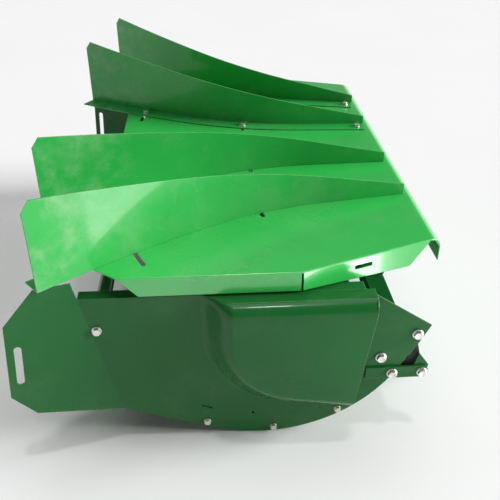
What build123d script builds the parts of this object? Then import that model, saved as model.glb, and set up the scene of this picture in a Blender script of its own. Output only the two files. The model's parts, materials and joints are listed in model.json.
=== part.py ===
"""Two-level residue spreader for the rear of a combine harvester.

A vaned tailboard lies over a discharge housing. The housing has two side panels with flared
wings and raised air hoods, a curved bottom pan, a front beam with a mounting plate and a rear
tie tube. The tailboard hinges on a rod at its front lip, and each of its four vanes swings
about its front bolt, as far as its slots allow.

Frame: millimetres, +Z up, +X towards the machine, origin at the centre of the mounting
plate's hole pattern, on the plate's front face.
"""
from build123d import *
from math import asin, atan2, cos, degrees, hypot, radians, sin, sqrt, tan
import os

# ---- sheet and general clearances
sheet = 3.0
running_gap = 0.3
bolt_clearance = 0.5
rod_clearance = 0.08

# ---- tailboard deck
deck_length = 758.0
deck_rear_width = 1296.0
deck_front_width = 1055.0
deck_height = 218.0
taper_length = 324.0
corner_cut_length = 60.0
corner_cut_width = 46.0
flange_depth = 45.0
flange_front_depth = 56.0
flange_rear_slant = 39.0
flange_front_slant = 48.0
flange_corner_gap = 5.0
lip_radius = 28.0
lip_drop = 32.0
bend_radius = 2.4
flange_slot_length = 45.0
flange_slot_width = 10.0
flange_slot_distance = 145.0
stiffener_width = 60.0
stiffener_depth = 40.0
stiffener_flange = 18.0
stiffener_rear_x = -585.0
stiffener_front_x = -303.0
stiffener_front_inset = 40.0

# ---- vanes
vane_group_offset = 13.0
inner_pivot_y = 114.0
outer_pivot_y = 309.0
pivot_inset = 58.0
inner_nominal = 2.5
outer_edge_distance = 90.0
vane_swing = 5.0
vane_settings = {"outer_right": -1.5, "inner_right": -0.3, "inner_left": 0.3, "outer_left": 1.4}
vane_front_overhang = 22.0
vane_straight = 200.0
vane_bend_radius = 850.0
vane_bend_angle = 22.0
vane_tail_radius = 2650.0
vane_tail_angle = 8.3
vane_front_height = 27.0
vane_rear_height = 198.0
vane_cut_length = 15.0
vane_cut_height = 24.0
vane_flange_width = 48.0
vane_mid_distance = 346.0
vane_rear_distance = 663.0

# ---- side panels
deck_side_overhang = 8.0
panel_top_z = 166.0
arc_x = -399.0
arc_z = 109.0
arc_radius = 346.0
arc_end_angle = -34.0
tangent_angle = -109.8
straight_length = 216.4
bend_top_x = -785.0
wing_flare = 17.0
wing_top_z = 205.0
wing_top_x = -867.0
wing_outline = [(-935.0, 133.0), (-949.0, -41.0), (-903.0, -98.0)]
wing_slot_x = -919.5
wing_slot_z = 34.5
wing_slot_length = 95.0
wing_slot_width = 15.0
wing_slot_tilt = 4.6
nose_x = -34.0
nose_z = 62.0
throat_x = -58.0
throat_z = 10.0
shoulder_x = -189.0
top_flange_width = 28.0
sight_hole = (-424.0, -175.0)
sight_hole_radius = 3.5
drain_slot = (-530.0, -150.0)
drain_slot_length = 26.0
drain_slot_width = 7.0
drain_slot_tilt = 20.0

# ---- side air hoods
hood_x = -324.0
hood_z = 68.0
hood_radius = 173.0
hood_spread = 40.0
hood_height = 60.0
hood_bottom_slope = 9.5
mouth_top_x = -170.0
mouth_bottom_x = -206.0
mouth_bottom_z = -121.0
hood_edge_radius = 26.0
hood_reserve = 80.0
opening_rim = 14.0

# ---- bottom pan
pan_inset = 2.0
pan_flange = 26.0
pan_nut_gap = 0.5
pan_end_angle = 3.0
pan_rear_inset = 12.0
pan_bolt_angle = -86.0
pan_bolt_pitch = 27.3

# ---- front beam, mounting plate and hinge
beam_size = 46.0
beam_wall = 4.0
beam_front_x = -77.0
plate_thickness = 10.0
plate_width = 300.0
plate_depth = 124.0
plate_corner = 12.0
mount_pitch_y = 240.0
mount_pitch_z = 80.0
mount_hole_radius = 6.75
end_plate = 6.0
web_spacing = 180.0
web_thickness = 8.0
rod_radius = 8.0
lug_thickness = 8.0
lug_spacing = [40.0, 390.0]
lug_gap = 1.0
lug_eye_clearance = 4.0
lug_web_length = 70.0
bracket_eye_wall = 6.0
bracket_weld = 2.0
rod_overhang = 14.0
rod_chamfer = 1.2
rod_washer_rim = 5.0
rod_washer_gap = 0.5
washer_clearance = 0.2
thread_clearance = 0.05
pin_radius = 1.6
pin_clearance = 0.2
pin_inset = 5.0
pin_overhang = 4.0
pin_head_radius = 3.0

# ---- rear tie tube and rest pads
tie_x = -754.0
tie_z = 84.0
tie_radius = 17.0
tie_wall = 4.0
tie_thread_depth = 40.0
tie_bolt_reach = 20.0
pad_length = 44.0
pad_width = 22.0
pad_corner = 4.0

# ---- front braces and rubber seals
brace_length = 144.0
brace_width = 30.0
brace_thickness = 6.0
brace_front_x = -41.0
brace_z = -66.0
brace_bolt_pitch = 69.0
gusset_heel = 19.0
gusset_height = 34.0
seal_thickness = 5.0
seal_beam_gap = 3.0
seal_overlap = 10.0
spacer_radius = 11.0
end_plate_edge = 5.0
beam_bolts = [(-62.0, 39.0), (-138.0, -23.0)]

# ---- fasteners: nominal radius, head across flats, head height, nut height
m8 = (4.0, 13.0, 5.3, 6.8)
m10 = (5.0, 16.0, 6.4, 8.4)
m12 = (6.0, 18.0, 7.5, 10.8)
washer_thickness = 2.0
bolt_run_out = 3.0
head_chamfer = 0.8

os.makedirs("parts", exist_ok=True)


def export(shape, name):
    """Write one node."""
    export_step(shape, f"parts/{name}.step")


def mirrored(shape):
    """The same piece on the other side of the centre plane."""
    return mirror(shape, about=Plane.XZ)


def group(shapes):
    """Several separate solids as one node."""
    solids = []
    for shape in shapes:
        solids.extend(shape.solids())
    return Compound(children=[Solid(s.wrapped) for s in solids])


def outline_face(points):
    """A closed polygon in the XZ plane, at Y = 0."""
    corners = [Vector(x, 0, z) for x, z in points]
    return make_face(Polyline(*corners, close=True).edges()).face()


def plate_xz(face, y_low, y_high):
    """A flat plate between two Y positions, from a face in the XZ plane."""
    moved = face.moved(Location((0, y_low, 0)))
    return Solid.extrude(moved, Vector(0, y_high - y_low, 0))


def cylinder_y(x, z, radius, y_low, y_high):
    """A round bar along Y."""
    bar = Solid.make_cylinder(radius, y_high - y_low, Plane((x, y_low, z), z_dir=(0, 1, 0)))
    return bar


def hexagon(across_flats, height, plane):
    """A hexagonal prism standing on a plane."""
    face = plane * RegularPolygon(across_flats / 2, 6, major_radius=False)
    return extrude(face, height)


def bolt(size, plane, grip):
    """A hex bolt whose head sits on the plane and whose shank points against its normal."""
    radius, flats, head, nut = size
    shank_length = grip + nut + washer_thickness + bolt_run_out
    shank = Solid.make_cylinder(radius, shank_length, Plane(plane.origin, z_dir=-plane.z_dir))
    head_solid = hexagon(flats, head, plane)
    top = head_solid.faces().sort_by(lambda face: (face.center() - plane.origin).dot(plane.z_dir))[-1]
    return chamfer(top.edges(), head_chamfer) + shank


def ring(size, outer, height, plane):
    """A washer standing on the plane, round a bolt of that size."""
    disc = Solid.make_cylinder(outer, height, plane)
    hole = Solid.make_cylinder(size[0] + washer_clearance, height, plane)
    return disc - hole


def washer(size, plane):
    """A flat washer standing on the plane."""
    return ring(size, size[0] * 2.1, washer_thickness, plane)


def nut(size, plane):
    """A hex nut standing on the plane."""
    body = hexagon(size[1], size[3], plane)
    hole = Solid.make_cylinder(size[0] + thread_clearance, size[3], plane)
    return body - hole


# ---------------------------------------------------------------- tailboard deck
rod_x = -lip_radius
rod_z = deck_height - lip_radius
deck_under = deck_height - sheet
rear_half = deck_rear_width / 2
front_half = deck_front_width / 2
taper_run = hypot(taper_length, rear_half - front_half)
taper_angle = degrees(atan2(rear_half - front_half, taper_length))
lip_start = taper_run * (taper_length - lip_radius) / taper_length


def deck_outline():
    """The deck's plan outline, symmetric about the centre plane."""
    half = [
        (-deck_length, rear_half - corner_cut_width),
        (-deck_length + corner_cut_length, rear_half),
        (-taper_length, rear_half),
        (0, front_half),
    ]
    other = [(x, -y) for x, y in reversed(half)]
    corners = [Vector(x, y, 0) for x, y in half + other]
    return make_face(Polyline(*corners, close=True).edges()).face()


def lipped_sheet():
    """The deck sheet with its rolled front lip, full width, before trimming to the outline."""
    top = Box(deck_length - lip_radius, deck_rear_width, sheet,
              align=(Align.MIN, Align.CENTER, Align.MIN))
    top = top.moved(Location((-deck_length, 0, deck_under)))
    axis = Plane((rod_x, -rear_half, rod_z), x_dir=(1, 0, 0), z_dir=(0, 1, 0))
    outer = Solid.make_cylinder(lip_radius, deck_rear_width, axis)
    inner = Solid.make_cylinder(lip_radius - sheet, deck_rear_width, axis)
    corner = Box(lip_radius, deck_rear_width, lip_radius, align=(Align.MIN, Align.CENTER, Align.MIN))
    quarter = (outer - inner) & corner.moved(Location((rod_x, 0, rod_z)))
    drop = Box(sheet, deck_rear_width, lip_drop, align=(Align.MAX, Align.CENTER, Align.MAX))
    return top + quarter + drop.moved(Location((0, 0, rod_z)))


def side_flange():
    """The straight flange on the +Y side, with its slanted rear end."""
    low = deck_height - flange_depth
    rear = -deck_length + corner_cut_length
    face = outline_face([
        (rear, deck_under),
        (-taper_length - flange_corner_gap / 2, deck_under),
        (-taper_length - flange_corner_gap / 2, low),
        (rear + flange_rear_slant, low),
    ])
    return plate_xz(face, rear_half - sheet, rear_half)


def taper_flange():
    """The angled flange on the +Y side, with its slot and its slanted front end."""
    start = flange_corner_gap / 2
    face = outline_face([
        (start, deck_under),
        (lip_start, deck_under),
        (lip_start - flange_front_slant, deck_height - flange_front_depth),
        (start, deck_height - flange_depth),
    ])
    plate = plate_xz(face, -sheet, 0)
    slot = Plane((flange_slot_distance, -sheet, deck_height - flange_depth / 2),
                 x_dir=(1, 0, 0), z_dir=(0, 1, 0)) * SlotOverall(flange_slot_length, flange_slot_width)
    plate = plate - extrude(slot, sheet)
    return plate.moved(Location((-taper_length, rear_half, 0), (0, 0, -taper_angle)))


class Vane:
    """One vane: where its pivot is, how it is set and which way it curves."""

    def __init__(self, place_name, side, pivot_y, nominal):
        self.name = f"vane_{place_name}"
        self.side = side
        self.pivot = Vector(-pivot_inset, pivot_y * side + vane_group_offset, deck_height)
        self.nominal = nominal
        self.setting = nominal + vane_settings[place_name]

    def place(self, shape, angle):
        """Put a shape made for the -Y side, with the pivot at its origin, into the model."""
        shape = shape if self.side < 0 else mirrored(shape)
        return shape.moved(Location(self.pivot, (0, 0, -angle * self.side)))


flange_middle = vane_flange_width / 2 + sheet / 2


def vane_path(offset):
    """The vane's plan line, from front to rear, that far inside its outer face."""
    start = Vector(vane_front_overhang, offset - flange_middle, 0)
    first = Line(start, start - Vector(vane_straight, 0, 0))
    bend = JernArc(first @ 1, first % 1, vane_bend_radius + offset, vane_bend_angle)
    tail = JernArc(bend @ 1, bend % 1, vane_tail_radius + offset, vane_tail_angle)
    return [first, bend, tail]


def vane_ribbon(offset_low, offset_high):
    """The plan area between two of the vane's plan lines."""
    low = vane_path(offset_low)
    high = vane_path(offset_high)
    caps = [Line(low[0] @ 0, high[0] @ 0), Line(low[2] @ 1, high[2] @ 1)]
    edges = [edge for curve in low + high + caps for edge in curve.edges()]
    return make_face(edges).face()


def vane_bolt_points():
    """The three bolt centres on the flange's middle line: pivot, middle and rear."""
    bend_centre = Vector(vane_front_overhang - vane_straight, -vane_bend_radius - flange_middle, 0)
    bend_line = vane_bend_radius + flange_middle
    tail_shift = vane_tail_radius - vane_bend_radius
    turn = radians(vane_bend_angle)
    tail_centre = bend_centre + Vector(sin(turn), -cos(turn), 0) * tail_shift
    tail_line = vane_tail_radius + flange_middle
    middle = point_at_distance(bend_centre, bend_line, vane_mid_distance)
    rear = point_at_distance(tail_centre, tail_line, vane_rear_distance)
    return [Vector(0, 0, 0), middle, rear]


def point_at_distance(centre, radius, distance):
    """The point of a circle that lies behind the pivot at that distance from it."""
    span = centre.length
    along = (distance ** 2 - radius ** 2 + span ** 2) / (2 * span)
    across = (distance ** 2 - along ** 2) ** 0.5
    direction = centre.normalized()
    side = Vector(direction.Y, -direction.X, 0)
    return direction * along + side * across


bolt_points = vane_bolt_points()
rear_bolt_angle = degrees(atan2(-bolt_points[2].Y, -bolt_points[2].X))
outer_rear_reach = rear_half - outer_edge_distance - outer_pivot_y
outer_nominal = degrees(asin(outer_rear_reach / vane_rear_distance)) - rear_bolt_angle

vanes = [
    Vane("outer_right", -1, outer_pivot_y, outer_nominal),
    Vane("inner_right", -1, inner_pivot_y, inner_nominal),
    Vane("inner_left", 1, inner_pivot_y, inner_nominal),
    Vane("outer_left", 1, outer_pivot_y, outer_nominal),
]


def vane_solid():
    """A vane for the -Y side: a tall curved wall on a flange, with the pivot at the origin."""
    lift = running_gap
    wall_foot = vane_ribbon(0, sheet).moved(Location((0, 0, lift)))
    wall = Solid.extrude(wall_foot, Vector(0, 0, vane_rear_height))
    flange_foot = vane_ribbon(0, vane_flange_width).moved(Location((0, 0, lift)))
    flange = Solid.extrude(flange_foot, Vector(0, 0, sheet))
    rear_x = min(vertex.X for vertex in wall.vertices())
    profile = outline_face([
        (vane_front_overhang, -1),
        (vane_front_overhang, vane_front_height),
        (rear_x + vane_cut_length, vane_rear_height - vane_cut_length * vane_slope(rear_x)),
        (rear_x, vane_rear_height - vane_cut_height),
        (rear_x, -1),
    ])
    wall = wall & plate_xz(profile, -vane_bend_radius, vane_bend_radius)
    body = wall + flange
    for point in bolt_points:
        body = body - Solid.make_cylinder(m10[0] + bolt_clearance, 3 * sheet, Plane(point))
    return body


def vane_slope(rear_x):
    """How much the top edge rises over each millimetre of length."""
    return (vane_rear_height - vane_front_height) / (vane_front_overhang - rear_x)


def vane_fasteners():
    """Bolts, washers and nuts of one vane, with the pivot at the origin."""
    top = running_gap + sheet
    under = -sheet - running_gap
    bolts = []
    washers = []
    nuts = []
    for point in bolt_points:
        above = Plane((point.X, point.Y, top))
        below = Plane((point.X, point.Y, under), x_dir=(1, 0, 0), z_dir=(0, 0, -1))
        washers.append(washer(m10, above))
        washers.append(washer(m10, below))
        bolts.append(bolt(m10, above.offset(washer_thickness), top - under + washer_thickness))
        nuts.append(nut(m10, below.offset(washer_thickness)))
    return {"bolts": bolts, "washers": washers, "nuts": nuts}


def slot_cutter(vane, point):
    """The curved slot that one of the vane's bolts travels in."""
    distance = point.length
    reach = degrees(atan2(point.Y, point.X)) % 360
    half_width = m10[0] + bolt_clearance
    band = []
    for radius in (distance - half_width, distance + half_width):
        band.append(CenterArc((0, 0, 0), radius, reach - vane_swing, 2 * vane_swing))
    caps = [Line(band[0] @ 0, band[1] @ 0), Line(band[0] @ 1, band[1] @ 1)]
    edges = [edge for curve in band + caps for edge in curve.edges()]
    base = make_face(edges).face().moved(Location((0, 0, -2 * sheet)))
    cutter = Solid.extrude(base, Vector(0, 0, 3 * sheet))
    for end in (reach - vane_swing, reach + vane_swing):
        spot = (distance * cos(radians(end)), distance * sin(radians(end)), -2 * sheet)
        cutter = cutter + Solid.make_cylinder(half_width, 3 * sheet, Plane(spot))
    return vane.place(cutter, vane.nominal)


def deck():
    """The deck sheet with lip, flanges, pivot holes and slots."""
    body = lipped_sheet() & Solid.extrude(deck_outline(), Vector(0, 0, deck_height + lip_radius))
    for flange in (side_flange(), taper_flange()):
        body = body + flange + mirrored(flange)
    for vane in vanes:
        pivot_hole = Solid.make_cylinder(m10[0] + running_gap, 3 * sheet, Plane((0, 0, -2 * sheet)))
        body = body - vane.place(pivot_hole, vane.nominal)
        for point in bolt_points[1:]:
            body = body - slot_cutter(vane, point)
    return body


def flange_bends(body):
    """The long upper edges of the deck where its side flanges are bent down."""
    top = body.edges().filter_by(lambda edge: abs(edge.center().Z - deck_height) < running_gap)
    straight = top.filter_by(lambda edge: abs(abs(edge.center().Y) - rear_half) < running_gap)
    slanted = top.filter_by(lambda edge: front_half < abs(edge.center().Y) < rear_half - running_gap)
    slanted = slanted.filter_by(lambda edge: edge.length > taper_length / 2)
    return straight + slanted


def stiffener(centre_x, half_span):
    """A hat channel across the underside of the deck."""
    half = stiffener_width / 2
    low = deck_under - stiffener_depth
    face = outline_face([
        (centre_x - half - stiffener_flange, deck_under),
        (centre_x - half + sheet, deck_under),
        (centre_x - half + sheet, low + sheet),
        (centre_x + half - sheet, low + sheet),
        (centre_x + half - sheet, deck_under),
        (centre_x + half + stiffener_flange, deck_under),
        (centre_x + half + stiffener_flange, deck_under - sheet),
        (centre_x + half, deck_under - sheet),
        (centre_x + half, low),
        (centre_x - half, low),
        (centre_x - half, deck_under - sheet),
        (centre_x - half - stiffener_flange, deck_under - sheet),
    ])
    return plate_xz(face, -half_span, half_span)


def lug_positions(shift):
    """The centre of each hinge lug along Y, moved that far towards the centre plane."""
    places = []
    for spacing in lug_spacing:
        places.append(spacing - shift)
        places.append(shift - spacing)
    return places


def deck_lug(y):
    """An eye welded under the deck, round the hinge rod."""
    eye_radius = lip_radius - sheet - lug_eye_clearance
    y_low = y - lug_thickness / 2
    y_high = y + lug_thickness / 2
    eye = cylinder_y(rod_x, rod_z, eye_radius, y_low, y_high)
    web = plate_xz(outline_face([
        (rod_x, rod_z - eye_radius),
        (rod_x, deck_under),
        (rod_x - lug_web_length, deck_under),
    ]), y_low, y_high)
    return eye + web - cylinder_y(rod_x, rod_z, rod_radius + rod_clearance, y_low, y_high)


# ---------------------------------------------------------------- side panels and hoods
panel_outer_y = rear_half - deck_side_overhang
panel_inner_y = panel_outer_y - sheet


def on_arc(radius, angle):
    """A point round the centre of the panel's bottom arc."""
    return Vector(arc_x + radius * cos(radians(angle)), 0, arc_z + radius * sin(radians(angle)))


tangent = Vector(-sin(radians(tangent_angle)), 0, cos(radians(tangent_angle)))
bend_bottom = on_arc(arc_radius, tangent_angle) - tangent * straight_length


def bottom_line(inset, angle_end, straight):
    """The bottom edge's line, that far inside it: straight rear stretch, then the arc."""
    radius = arc_radius - inset
    start = on_arc(radius, tangent_angle)
    middle = on_arc(radius, (tangent_angle + angle_end) / 2)
    end = on_arc(radius, angle_end)
    return [Line(start - tangent * straight, start), ThreePointArc(start, middle, end)]


def ribbon_xz(line_low, line_high):
    """The area between two lines in the XZ plane that run the same way."""
    caps = [Line(line_low[0] @ 0, line_high[0] @ 0), Line(line_low[-1] @ 1, line_high[-1] @ 1)]
    edges = [edge for curve in line_low + line_high + caps for edge in curve.edges()]
    return make_face(edges).face()


def flat_panel_face():
    """The side panel's outline ahead of the bend line."""
    lower = bottom_line(0, arc_end_angle, straight_length)
    rim = Polyline(
        lower[1] @ 1,
        (throat_x, 0, throat_z),
        (nose_x, 0, nose_z),
        (shoulder_x, 0, panel_top_z),
        (bend_top_x, 0, panel_top_z),
        (bend_bottom.X, 0, bend_bottom.Z),
    )
    edges = [edge for curve in lower + [rim] for edge in curve.edges()]
    return make_face(edges).face()


def wing():
    """The rear wing on the +Y side, flared outwards about the bend line."""
    slope = (bend_top_x - bend_bottom.X) / (panel_top_z - bend_bottom.Z)
    tip_x = bend_top_x + slope * (wing_top_z - panel_top_z)
    corners = [(tip_x, wing_top_z), (wing_top_x, wing_top_z)] + wing_outline
    corners.append((bend_bottom.X, bend_bottom.Z))
    body = plate_xz(outline_face(corners), panel_inner_y, panel_outer_y)
    slot_plane = Plane((wing_slot_x, panel_inner_y, wing_slot_z), x_dir=(0, 0, 1), z_dir=(0, 1, 0))
    slot = slot_plane * SlotOverall(wing_slot_length, wing_slot_width, rotation=wing_slot_tilt)
    body = body - extrude(slot, sheet)
    bend = Axis((bend_bottom.X, panel_inner_y, bend_bottom.Z), (slope, 0, 1))
    return body.rotate(bend, -wing_flare)


def mouth_plane_x(z):
    """Where the hood's slanted mouth lies at that height."""
    share = (z - mouth_bottom_z) / (panel_top_z - mouth_bottom_z)
    return mouth_bottom_x + (mouth_top_x - mouth_bottom_x) * share


def hood_outline(growth, top, front_cut):
    """The hood's U outline, grown by that much, up to a level and forward to the mouth."""
    radius = hood_radius + growth
    slope = radians(hood_bottom_slope)
    tangent_point = Vector(hood_x - radius * sin(slope), 0, hood_z - radius * cos(slope))
    left = Vector(hood_x - radius, 0, hood_z)
    between = radians(225 - hood_bottom_slope / 2)
    middle = Vector(hood_x + radius * cos(between), 0, hood_z + radius * sin(between))
    end_x = mouth_bottom_x - front_cut
    end = Vector(end_x, 0, tangent_point.Z - (end_x - tangent_point.X) * tan(slope))
    upper_x = end.X + (top - end.Z) * (mouth_top_x - mouth_bottom_x) / (panel_top_z - mouth_bottom_z)
    curves = [
        Line(Vector(left.X, 0, top), left),
        ThreePointArc(left, middle, tangent_point),
        Line(tangent_point, end),
        Line(end, Vector(upper_x, 0, top)),
        Line(Vector(upper_x, 0, top), Vector(left.X, 0, top)),
    ]
    edges = [edge for curve in curves for edge in curve.edges()]
    return make_face(edges).face()


def hood_mass():
    """The hood's outer form before hollowing, longer than the hood at its top and mouth."""
    foot = hood_outline(hood_spread, panel_top_z + hood_reserve, -hood_reserve)
    face = hood_outline(0, panel_top_z + hood_reserve, -hood_reserve)
    lower = foot.moved(Location((0, panel_outer_y, 0))).outer_wire()
    upper = face.moved(Location((0, panel_outer_y + hood_height, 0))).outer_wire()
    mass = Solid.make_loft([lower, upper], True)
    crest = mass.faces().sort_by(Axis.Y)[-1]
    below_top = [edge for edge in crest.edges() if edge.center().Z < panel_top_z + hood_reserve / 2]
    bent = [edge for edge in below_top if edge.center().X < mouth_bottom_x]
    return mass.fillet(hood_edge_radius, bent)


def hood_trim(depth):
    """The block that the hood is trimmed to, that far below its top and past its mouth."""
    low = mouth_bottom_z - hood_radius
    top = panel_top_z - depth
    reach = hood_reserve if depth else 0
    face = outline_face([
        (hood_x - 2 * hood_radius, low),
        (mouth_plane_x(low) + reach, low),
        (mouth_plane_x(top) + reach, top),
        (hood_x - 2 * hood_radius, top),
    ])
    return plate_xz(face, panel_outer_y, panel_outer_y + 2 * hood_height)


def hood():
    """The raised air hood on the +Y side, open at its mouth and towards the panel."""
    mass = hood_mass()
    hollow = mass.moved(Location((0, -sheet, 0))) & hood_trim(sheet)
    return (mass & hood_trim(0)) - hollow


def side_panel():
    """The side panel on the +Y side: flat part, wing, inward top flange and its openings."""
    body = plate_xz(flat_panel_face(), panel_inner_y, panel_outer_y) + wing()
    top = Box(shoulder_x - bend_top_x, top_flange_width, sheet, align=(Align.MIN, Align.MAX, Align.MAX))
    body = body + top.moved(Location((bend_top_x, panel_outer_y, panel_top_z)))
    opening = hood_outline(-opening_rim, panel_top_z - 2 * opening_rim, 2 * opening_rim)
    body = body - plate_xz(opening, panel_inner_y - 1, panel_outer_y + 1)
    holes = [(point.X, point.Z, m8) for point in pan_bolt_points()]
    holes += [(x, z, m12) for x, z in beam_bolts]
    holes += [(tie_x, tie_z, m10), (brace_front_x - brace_bolt_pitch, brace_z, m12)]
    for x, z, size in holes:
        body = body - cylinder_y(x, z, size[0] + bolt_clearance, panel_inner_y - 1, panel_outer_y + 1)
    x, z = sight_hole
    body = body - cylinder_y(x, z, sight_hole_radius, panel_inner_y - 1, panel_outer_y + 1)
    drain = Plane((drain_slot[0], panel_inner_y - 1, drain_slot[1]), x_dir=(1, 0, 0), z_dir=(0, 1, 0))
    slot = drain * SlotOverall(drain_slot_length, drain_slot_width, rotation=drain_slot_tilt)
    return body - extrude(slot, sheet + 2)


def pan_bolt_points():
    """The three bolts that hold the pan's flange to the panel."""
    inset = pan_inset + sheet + pan_nut_gap + m8[1] / sqrt(3)
    angles = [pan_bolt_angle + step * pan_bolt_pitch for step in (-1, 0, 1)]
    return [on_arc(arc_radius - inset, angle) for angle in angles]


def bottom_pan():
    """The curved pan between the panels, with an upturned flange at each side."""
    end = arc_end_angle - pan_end_angle
    straight = straight_length - pan_rear_inset
    outer = bottom_line(pan_inset, end, straight)
    floor = ribbon_xz(outer, bottom_line(pan_inset + sheet, end, straight))
    rim = ribbon_xz(outer, bottom_line(pan_inset + pan_flange, end, straight))
    body = plate_xz(floor, -panel_inner_y, panel_inner_y)
    flange = plate_xz(rim, panel_inner_y - sheet, panel_inner_y)
    body = body + flange + mirrored(flange)
    for point in pan_bolt_points():
        body = body - cylinder_y(point.X, point.Z, m8[0] + bolt_clearance, -panel_inner_y, panel_inner_y)
    return body


# ---------------------------------------------------------------- beam, plate and hinge
beam_centre_x = beam_front_x - beam_size / 2
beam_half_span = panel_inner_y - end_plate


def front_beam():
    """A square tube across the front."""
    outer = Box(beam_size, 2 * beam_half_span, beam_size)
    inner = Box(beam_size - 2 * beam_wall, 2 * beam_half_span, beam_size - 2 * beam_wall)
    return (outer - inner).moved(Location((beam_centre_x, 0, 0)))


def beam_end_plate():
    """The plate welded on the beam's +Y end and bolted to the panel, hidden behind its edge."""
    top = beam_bolts[0][1] + 16
    low = beam_bolts[1][1] - 19
    rear = beam_bolts[1][0] - 20
    face = outline_face([
        (panel_front_x(low) - end_plate_edge, low),
        (panel_front_x(throat_z) - end_plate_edge, throat_z),
        (beam_bolts[0][0] + 13, top - 8),
        (beam_bolts[0][0] + 10, top),
        (beam_bolts[0][0] - 14, top),
        (rear, beam_bolts[1][1] + 20),
        (rear, low),
    ])
    body = plate_xz(face, beam_half_span, panel_inner_y)
    for x, z in beam_bolts:
        body = body - cylinder_y(x, z, m12[0] + bolt_clearance, beam_half_span, panel_inner_y)
    return body


def panel_front_x(z):
    """Where the panel's slanted front edge lies at that height."""
    end = on_arc(arc_radius, arc_end_angle)
    return end.X + (throat_x - end.X) * (z - end.Z) / (throat_z - end.Z)


def plate_web():
    """The +Y web between the beam and the mounting plate."""
    length = -plate_thickness - beam_front_x
    body = Box(length, web_thickness, beam_size, align=(Align.MAX, Align.CENTER, Align.CENTER))
    return body.moved(Location((-plate_thickness, web_spacing / 2, 0)))


def mounting_plate():
    """The plate on the beam's front, with four holes."""
    body = Box(plate_thickness, plate_width, plate_depth, align=(Align.MAX, Align.CENTER, Align.CENTER))
    body = fillet(body.edges().filter_by(Axis.X), plate_corner)
    for y in (-mount_pitch_y / 2, mount_pitch_y / 2):
        for z in (-mount_pitch_z / 2, mount_pitch_z / 2):
            plane = Plane((-plate_thickness, y, z), z_dir=(1, 0, 0))
            body = body - Solid.make_cylinder(mount_hole_radius, plate_thickness, plane)
    return body


def hinge_bracket(y):
    """A bracket on the beam that carries the hinge rod."""
    eye_radius = rod_radius + bracket_eye_wall
    y_low = y - lug_thickness / 2
    y_high = y + lug_thickness / 2
    eye = cylinder_y(rod_x, rod_z, eye_radius, y_low, y_high)
    web = plate_xz(outline_face([
        (beam_front_x - bracket_weld, beam_size / 2),
        (rod_x + eye_radius, rod_z),
        (rod_x - eye_radius, rod_z),
        (beam_front_x - beam_size + bracket_weld, beam_size / 2),
    ]), y_low, y_high)
    return eye + web - cylinder_y(rod_x, rod_z, rod_radius + rod_clearance, y_low, y_high)


def hinge_rod():
    """The rod that the tailboard turns on, drilled for a split pin near each end."""
    half = lug_spacing[-1] + lug_thickness / 2 + rod_overhang
    body = cylinder_y(rod_x, rod_z, rod_radius, -half, half)
    for end in (-1, 1):
        spot = (rod_x, end * (half - pin_inset), rod_z - 2 * rod_radius)
        body = body - Solid.make_cylinder(pin_radius + pin_clearance, 4 * rod_radius, Plane(spot))
    return chamfer(body.faces().filter_by(Axis.Y).edges(), rod_chamfer)


def rod_washers():
    """A washer outside the last lug at each end of the rod."""
    start = lug_spacing[-1] + lug_thickness / 2 + rod_washer_gap
    plane = Plane((rod_x, start, rod_z), z_dir=(0, 1, 0))
    disc = Solid.make_cylinder(rod_radius + rod_washer_rim, washer_thickness, plane)
    disc = disc - Solid.make_cylinder(rod_radius + washer_clearance, washer_thickness, plane)
    return [disc, mirrored(disc)]


def split_pins():
    """The pin through each end of the rod."""
    half = lug_spacing[-1] + lug_thickness / 2 + rod_overhang
    pins = []
    for end in (-1, 1):
        y = end * (half - pin_inset)
        reach = rod_radius + pin_overhang
        shank = Solid.make_cylinder(pin_radius, 2 * reach, Plane((rod_x, y, rod_z - reach)))
        head = Solid.make_cylinder(pin_head_radius, pin_radius, Plane((rod_x, y, rod_z + reach)))
        pins.append(shank + head)
    return pins


def tie_tube():
    """The rear tie tube, with a threaded end at each side."""
    body = cylinder_y(tie_x, tie_z, tie_radius, -panel_inner_y, panel_inner_y)
    core = panel_inner_y - tie_thread_depth
    body = body - cylinder_y(tie_x, tie_z, tie_radius - tie_wall, -core, core)
    return body - cylinder_y(tie_x, tie_z, m10[0] + thread_clearance, -panel_inner_y, panel_inner_y)


def rest_pad():
    """The rubber pad on the +Y panel's top flange, under the end of the rear stiffener."""
    height = deck_under - stiffener_depth - running_gap - panel_top_z
    body = Box(pad_length, pad_width, height, align=(Align.CENTER, Align.CENTER, Align.MIN))
    body = fillet(body.edges().filter_by(Axis.Z), pad_corner)
    return body.moved(Location((stiffener_rear_x, panel_outer_y - top_flange_width / 2, panel_top_z)))


# ---------------------------------------------------------------- braces and seals
brace_outer_y = panel_outer_y + brace_thickness


def front_brace():
    """The flat brace outside the +Y panel, rounded at its front end."""
    rear = brace_front_x + brace_width / 2 - brace_length
    bar = outline_face([
        (rear, brace_z - brace_width / 2),
        (brace_front_x, brace_z - brace_width / 2),
        (brace_front_x, brace_z + brace_width / 2),
        (rear, brace_z + brace_width / 2),
    ])
    body = plate_xz(bar, panel_outer_y, brace_outer_y)
    body = body + cylinder_y(brace_front_x, brace_z, brace_width / 2, panel_outer_y, brace_outer_y)
    for x in (brace_front_x, brace_front_x - brace_bolt_pitch):
        body = body - cylinder_y(x, brace_z, m12[0] + bolt_clearance, panel_outer_y, brace_outer_y)
    return body


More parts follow.
